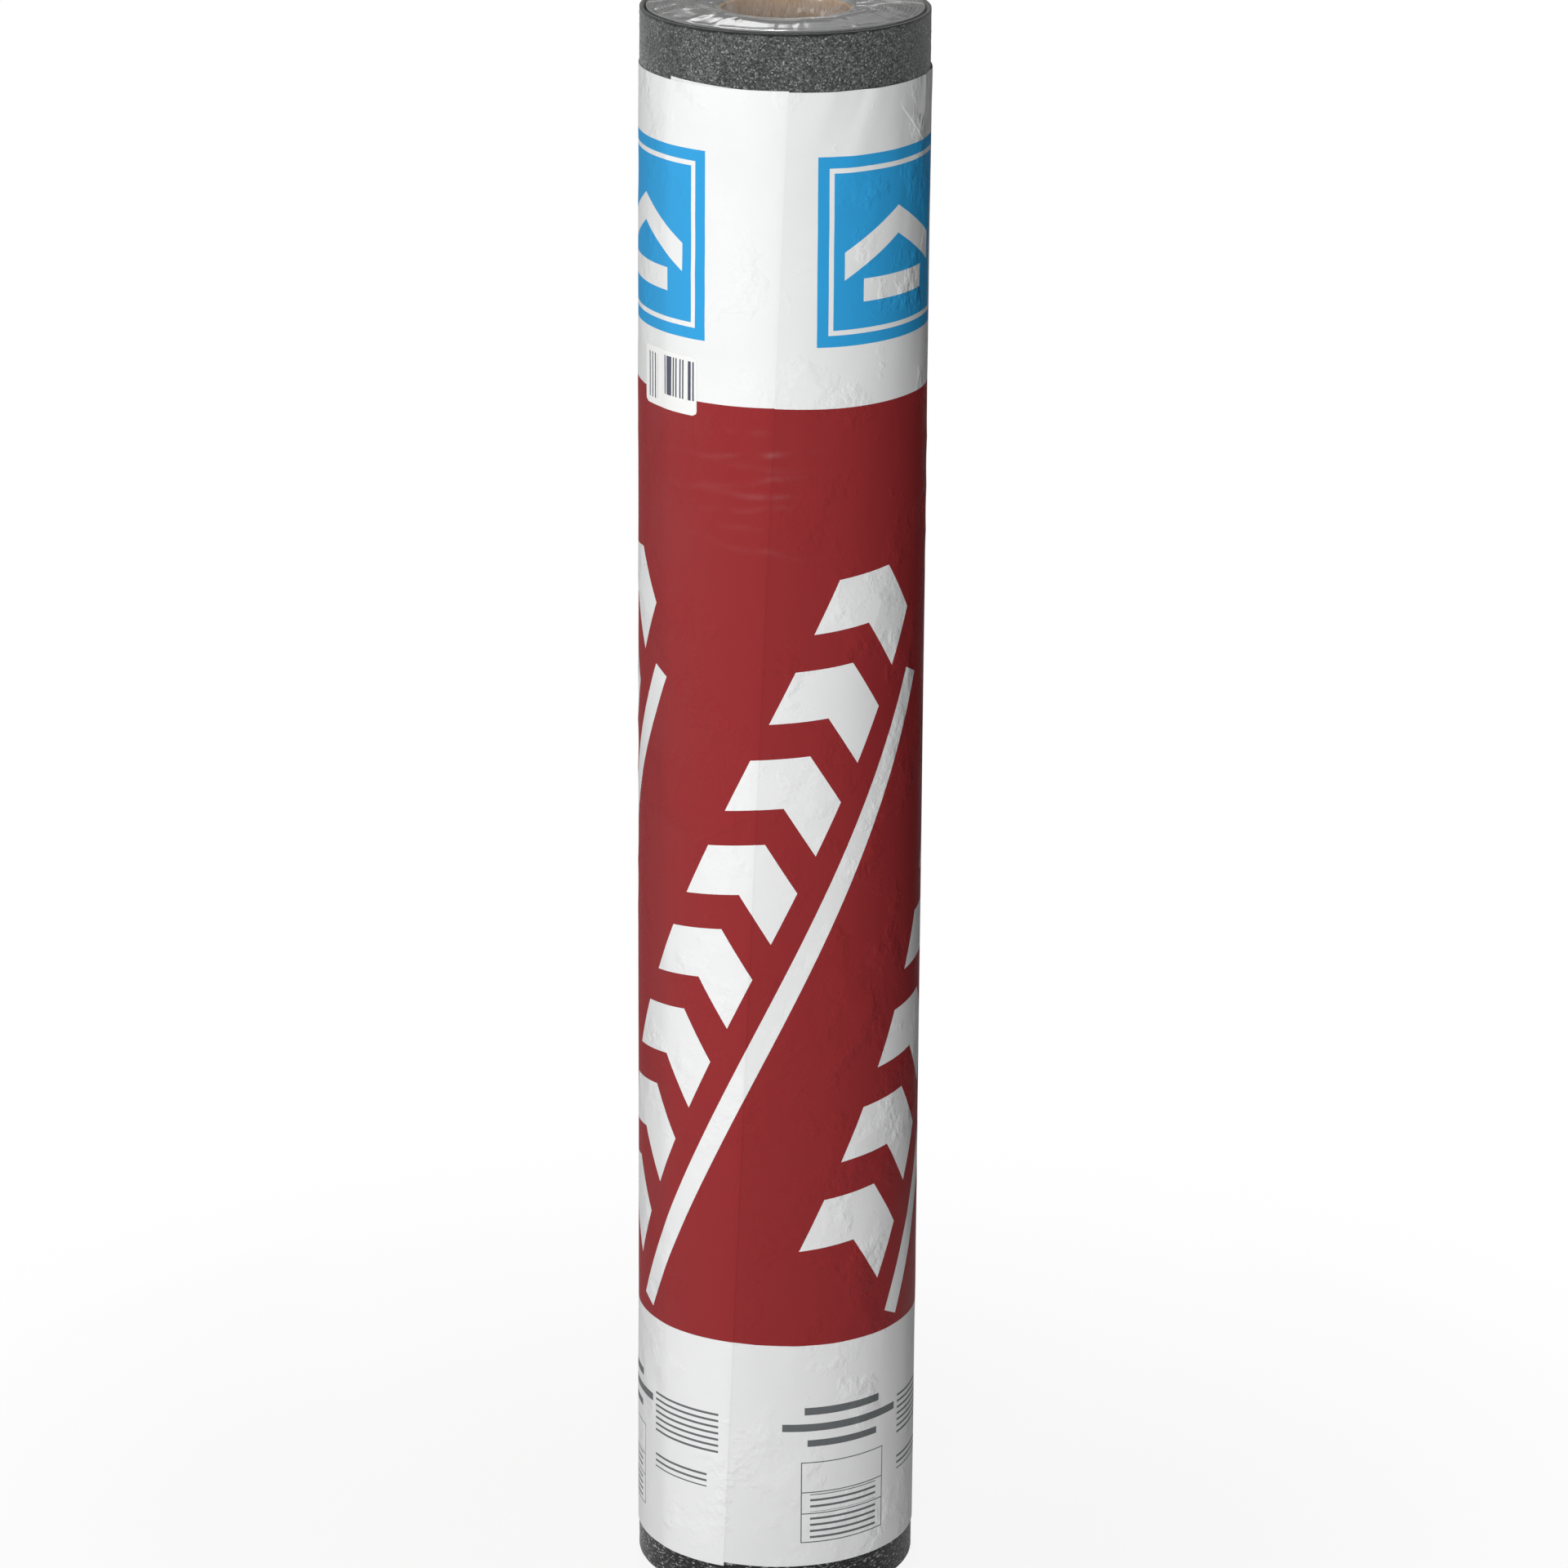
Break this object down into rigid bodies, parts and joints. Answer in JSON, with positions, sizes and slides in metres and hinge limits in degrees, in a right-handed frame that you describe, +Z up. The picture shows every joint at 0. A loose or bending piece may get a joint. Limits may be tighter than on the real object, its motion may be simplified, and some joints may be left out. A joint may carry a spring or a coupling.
{
  "type": "roll of roofing felt",
  "caption": "Standing roll of mineral-surfaced bitumen roofing felt wound on a cardboard core, in a lapped paper wrapper with plain colour bands, a sticker and a clear film over its top end.",
  "frame": {"origin": "centre of the roll's bottom end, on the floor it stands on", "axes": "+Z up along the roll's axis, -Y towards the front, +X to the right seen from the front"},
  "size_m": [0.175, 0.1753, 1.0002],
  "materials": {
    "felt": "bitumen felt with grey mineral granules",
    "core_board": "spiral-wound kraft board",
    "wrapper_paper": "satin coated paper with red and blue bands",
    "label_paper": "white sticker paper",
    "clear_film": "clear glossy film"
  },
  "bodies": {
    "root": {"felt_roll": "felt", "core_tube": "core_board", "wrapper": "wrapper_paper", "label": "label_paper", "end_film": "clear_film"}
  },
  "joints": []
}
